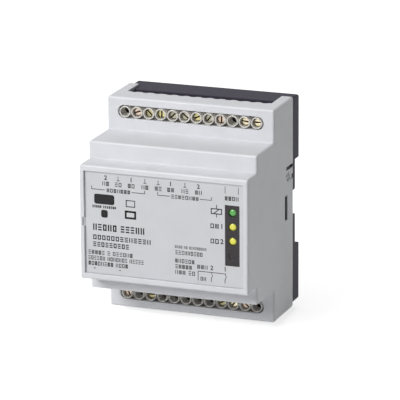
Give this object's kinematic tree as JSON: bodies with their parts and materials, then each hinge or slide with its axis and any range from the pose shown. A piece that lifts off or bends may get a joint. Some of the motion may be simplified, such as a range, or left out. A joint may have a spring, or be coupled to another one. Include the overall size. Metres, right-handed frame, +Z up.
{
  "type": "photocell amplifier",
  "caption": "Rail-mounted photocell amplifier in a stepped light grey housing on a dark base, with screw clamp rows above and below, and indicators in its front panel.",
  "frame": {"origin": "middle of the housing's width and height, on the floor of the rail channel, which is the plane of the rail's front", "axes": "+X to the right along the rail, +Y back to the wall, +Z up"},
  "size_m": [0.0708, 0.0622, 0.091],
  "materials": {
    "light_plastic": "fine moulded texture, light grey",
    "dark_plastic": "fine moulded texture, dark grey",
    "panel_plastic": "smooth matt plate with dark grey print",
    "smoked_plastic": "smoked, smooth",
    "green_lens": "diffused lens",
    "yellow_lens": "diffused lens",
    "terminal_plastic": "moulded, warm grey",
    "screw_brass": "yellow passivated, slotted",
    "cage_steel": "plated",
    "tinned_copper": "tinned",
    "spring_steel": "drawn wire",
    "board_laminate": "green solder mask",
    "relay_case": "moulded case",
    "capacitor_sleeve": "shrunk sleeve",
    "ferrite": "ferrite drum in a sleeve",
    "moulding_black": "epoxy moulding",
    "epoxy_blue": "dipped epoxy",
    "crystal_can": "drawn can"
  },
  "bodies": {
    "housing": {"housing_cover": "light_plastic", "base": "dark_plastic", "latch_spring": "spring_steel", "front_panel": "panel_plastic", "led_window": "smoked_plastic", "led_power": "green_lens", "led_channel_1": "yellow_lens", "led_channel_2": "yellow_lens", "upper_terminal_block": "terminal_plastic", "lower_terminal_block": "terminal_plastic", "upper_contact_bars": "tinned_copper", "lower_contact_bars": "tinned_copper", "main_board": "board_laminate", "riser_board": "board_laminate", "front_board": "board_laminate", "relay_1": "relay_case", "relay_2": "relay_case", "supply_capacitor": "capacitor_sleeve", "filter_capacitor": "capacitor_sleeve", "supply_choke": "ferrite", "bridge_rectifier": "moulding_black", "surge_absorber": "epoxy_blue", "fuse": "moulding_black", "control_chip": "moulding_black", "amplifier_chip": "moulding_black", "crystal": "crystal_can"},
    "upper_screw_2": {"upper_screw_2": "screw_brass"},
    "upper_cage_2": {"upper_cage_2": "cage_steel"},
    "upper_screw_3": {"upper_screw_3": "screw_brass"},
    "upper_cage_3": {"upper_cage_3": "cage_steel"},
    "upper_screw_4": {"upper_screw_4": "screw_brass"},
    "upper_cage_4": {"upper_cage_4": "cage_steel"},
    "upper_screw_5": {"upper_screw_5": "screw_brass"},
    "upper_cage_5": {"upper_cage_5": "cage_steel"},
    "upper_screw_6": {"upper_screw_6": "screw_brass"},
    "upper_cage_6": {"upper_cage_6": "cage_steel"},
    "upper_screw_7": {"upper_screw_7": "screw_brass"},
    "upper_cage_7": {"upper_cage_7": "cage_steel"},
    "upper_screw_8": {"upper_screw_8": "screw_brass"},
    "upper_cage_8": {"upper_cage_8": "cage_steel"},
    "upper_screw_9": {"upper_screw_9": "screw_brass"},
    "upper_cage_9": {"upper_cage_9": "cage_steel"},
    "upper_screw_11": {"upper_screw_11": "screw_brass"},
    "upper_cage_11": {"upper_cage_11": "cage_steel"},
    "upper_screw_12": {"upper_screw_12": "screw_brass"},
    "upper_cage_12": {"upper_cage_12": "cage_steel"},
    "lower_screw_1": {"lower_screw_1": "screw_brass"},
    "lower_cage_1": {"lower_cage_1": "cage_steel"},
    "lower_screw_3": {"lower_screw_3": "screw_brass"},
    "lower_cage_3": {"lower_cage_3": "cage_steel"},
    "lower_screw_9": {"lower_screw_9": "screw_brass"},
    "lower_cage_9": {"lower_cage_9": "cage_steel"},
    "lower_screw_10": {"lower_screw_10": "screw_brass"},
    "lower_cage_10": {"lower_cage_10": "cage_steel"},
    "lower_screw_11": {"lower_screw_11": "screw_brass"},
    "lower_cage_11": {"lower_cage_11": "cage_steel"},
    "rail_latch": {"rail_latch": "dark_plastic"}
  },
  "joints": [
    {"name": "upper_screw_2_turn", "type": "hinge", "parent": "housing", "child": "upper_screw_2", "pos_m": [-0.02286, -0.02, 0.038], "axis": [0, 1, 0], "range_deg": [0, 2250.5]},
    {"name": "upper_cage_2_lift", "type": "slide", "parent": "housing", "child": "upper_cage_2", "axis": [0, -1, 0], "range_m": [0, 0.00313]},
    {"name": "upper_screw_3_turn", "type": "hinge", "parent": "housing", "child": "upper_screw_3", "pos_m": [-0.01778, -0.02, 0.038], "axis": [0, 1, 0], "range_deg": [0, 2250.5]},
    {"name": "upper_cage_3_lift", "type": "slide", "parent": "housing", "child": "upper_cage_3", "axis": [0, -1, 0], "range_m": [0, 0.00313]},
    {"name": "upper_screw_4_turn", "type": "hinge", "parent": "housing", "child": "upper_screw_4", "pos_m": [-0.0127, -0.02, 0.038], "axis": [0, 1, 0], "range_deg": [0, 2250.5]},
    {"name": "upper_cage_4_lift", "type": "slide", "parent": "housing", "child": "upper_cage_4", "axis": [0, -1, 0], "range_m": [0, 0.00313]},
    {"name": "upper_screw_5_turn", "type": "hinge", "parent": "housing", "child": "upper_screw_5", "pos_m": [-0.00762, -0.02, 0.038], "axis": [0, 1, 0], "range_deg": [0, 2250.5]},
    {"name": "upper_cage_5_lift", "type": "slide", "parent": "housing", "child": "upper_cage_5", "axis": [0, -1, 0], "range_m": [0, 0.00313]},
    {"name": "upper_screw_6_turn", "type": "hinge", "parent": "housing", "child": "upper_screw_6", "pos_m": [-0.00254, -0.02, 0.038], "axis": [0, 1, 0], "range_deg": [0, 2250.5]},
    {"name": "upper_cage_6_lift", "type": "slide", "parent": "housing", "child": "upper_cage_6", "axis": [0, -1, 0], "range_m": [0, 0.00313]},
    {"name": "upper_screw_7_turn", "type": "hinge", "parent": "housing", "child": "upper_screw_7", "pos_m": [0.00254, -0.02, 0.038], "axis": [0, 1, 0], "range_deg": [0, 2250.5]},
    {"name": "upper_cage_7_lift", "type": "slide", "parent": "housing", "child": "upper_cage_7", "axis": [0, -1, 0], "range_m": [0, 0.00313]},
    {"name": "upper_screw_8_turn", "type": "hinge", "parent": "housing", "child": "upper_screw_8", "pos_m": [0.00762, -0.02, 0.038], "axis": [0, 1, 0], "range_deg": [0, 2250.5]},
    {"name": "upper_cage_8_lift", "type": "slide", "parent": "housing", "child": "upper_cage_8", "axis": [0, -1, 0], "range_m": [0, 0.00313]},
    {"name": "upper_screw_9_turn", "type": "hinge", "parent": "housing", "child": "upper_screw_9", "pos_m": [0.0127, -0.02, 0.038], "axis": [0, 1, 0], "range_deg": [0, 2250.5]},
    {"name": "upper_cage_9_lift", "type": "slide", "parent": "housing", "child": "upper_cage_9", "axis": [0, -1, 0], "range_m": [0, 0.00313]},
    {"name": "upper_screw_11_turn", "type": "hinge", "parent": "housing", "child": "upper_screw_11", "pos_m": [0.02286, -0.02, 0.038], "axis": [0, 1, 0], "range_deg": [0, 2250.5]},
    {"name": "upper_cage_11_lift", "type": "slide", "parent": "housing", "child": "upper_cage_11", "axis": [0, -1, 0], "range_m": [0, 0.00313]},
    {"name": "upper_screw_12_turn", "type": "hinge", "parent": "housing", "child": "upper_screw_12", "pos_m": [0.02794, -0.02, 0.038], "axis": [0, 1, 0], "range_deg": [0, 2250.5]},
    {"name": "upper_cage_12_lift", "type": "slide", "parent": "housing", "child": "upper_cage_12", "axis": [0, -1, 0], "range_m": [0, 0.00313]},
    {"name": "lower_screw_1_turn", "type": "hinge", "parent": "housing", "child": "lower_screw_1", "pos_m": [-0.02794, -0.02, -0.038], "axis": [0, 1, 0], "range_deg": [0, 2250.5]},
    {"name": "lower_cage_1_lift", "type": "slide", "parent": "housing", "child": "lower_cage_1", "axis": [0, -1, 0], "range_m": [0, 0.00313]},
    {"name": "lower_screw_3_turn", "type": "hinge", "parent": "housing", "child": "lower_screw_3", "pos_m": [-0.01778, -0.02, -0.038], "axis": [0, 1, 0], "range_deg": [0, 2250.5]},
    {"name": "lower_cage_3_lift", "type": "slide", "parent": "housing", "child": "lower_cage_3", "axis": [0, -1, 0], "range_m": [0, 0.00313]},
    {"name": "lower_screw_9_turn", "type": "hinge", "parent": "housing", "child": "lower_screw_9", "pos_m": [0.0127, -0.02, -0.038], "axis": [0, 1, 0], "range_deg": [0, 2250.5]},
    {"name": "lower_cage_9_lift", "type": "slide", "parent": "housing", "child": "lower_cage_9", "axis": [0, -1, 0], "range_m": [0, 0.00313]},
    {"name": "lower_screw_10_turn", "type": "hinge", "parent": "housing", "child": "lower_screw_10", "pos_m": [0.01778, -0.02, -0.038], "axis": [0, 1, 0], "range_deg": [0, 2250.5]},
    {"name": "lower_cage_10_lift", "type": "slide", "parent": "housing", "child": "lower_cage_10", "axis": [0, -1, 0], "range_m": [0, 0.00313]},
    {"name": "lower_screw_11_turn", "type": "hinge", "parent": "housing", "child": "lower_screw_11", "pos_m": [0.02286, -0.02, -0.038], "axis": [0, 1, 0], "range_deg": [0, 2250.5]},
    {"name": "lower_cage_11_lift", "type": "slide", "parent": "housing", "child": "lower_cage_11", "axis": [0, -1, 0], "range_m": [0, 0.00313]},
    {"name": "latch_slide", "type": "slide", "parent": "housing", "child": "rail_latch", "axis": [0, 0, -1], "range_m": [0, 0.0035], "stiffness_N_per_m": 300, "springref_m": -0.002, "deforming": ["latch_spring"]}
  ],
  "couplings": [
    {"joint": "upper_screw_2_turn", "follows": "upper_cage_2_lift", "rad_per_m": 12566},
    {"joint": "upper_screw_3_turn", "follows": "upper_cage_3_lift", "rad_per_m": 12566},
    {"joint": "upper_screw_4_turn", "follows": "upper_cage_4_lift", "rad_per_m": 12566},
    {"joint": "upper_screw_5_turn", "follows": "upper_cage_5_lift", "rad_per_m": 12566},
    {"joint": "upper_screw_6_turn", "follows": "upper_cage_6_lift", "rad_per_m": 12566},
    {"joint": "upper_screw_7_turn", "follows": "upper_cage_7_lift", "rad_per_m": 12566},
    {"joint": "upper_screw_8_turn", "follows": "upper_cage_8_lift", "rad_per_m": 12566},
    {"joint": "upper_screw_9_turn", "follows": "upper_cage_9_lift", "rad_per_m": 12566},
    {"joint": "upper_screw_11_turn", "follows": "upper_cage_11_lift", "rad_per_m": 12566},
    {"joint": "upper_screw_12_turn", "follows": "upper_cage_12_lift", "rad_per_m": 12566},
    {"joint": "lower_screw_1_turn", "follows": "lower_cage_1_lift", "rad_per_m": 12566},
    {"joint": "lower_screw_3_turn", "follows": "lower_cage_3_lift", "rad_per_m": 12566},
    {"joint": "lower_screw_9_turn", "follows": "lower_cage_9_lift", "rad_per_m": 12566},
    {"joint": "lower_screw_10_turn", "follows": "lower_cage_10_lift", "rad_per_m": 12566},
    {"joint": "lower_screw_11_turn", "follows": "lower_cage_11_lift", "rad_per_m": 12566}
  ]
}
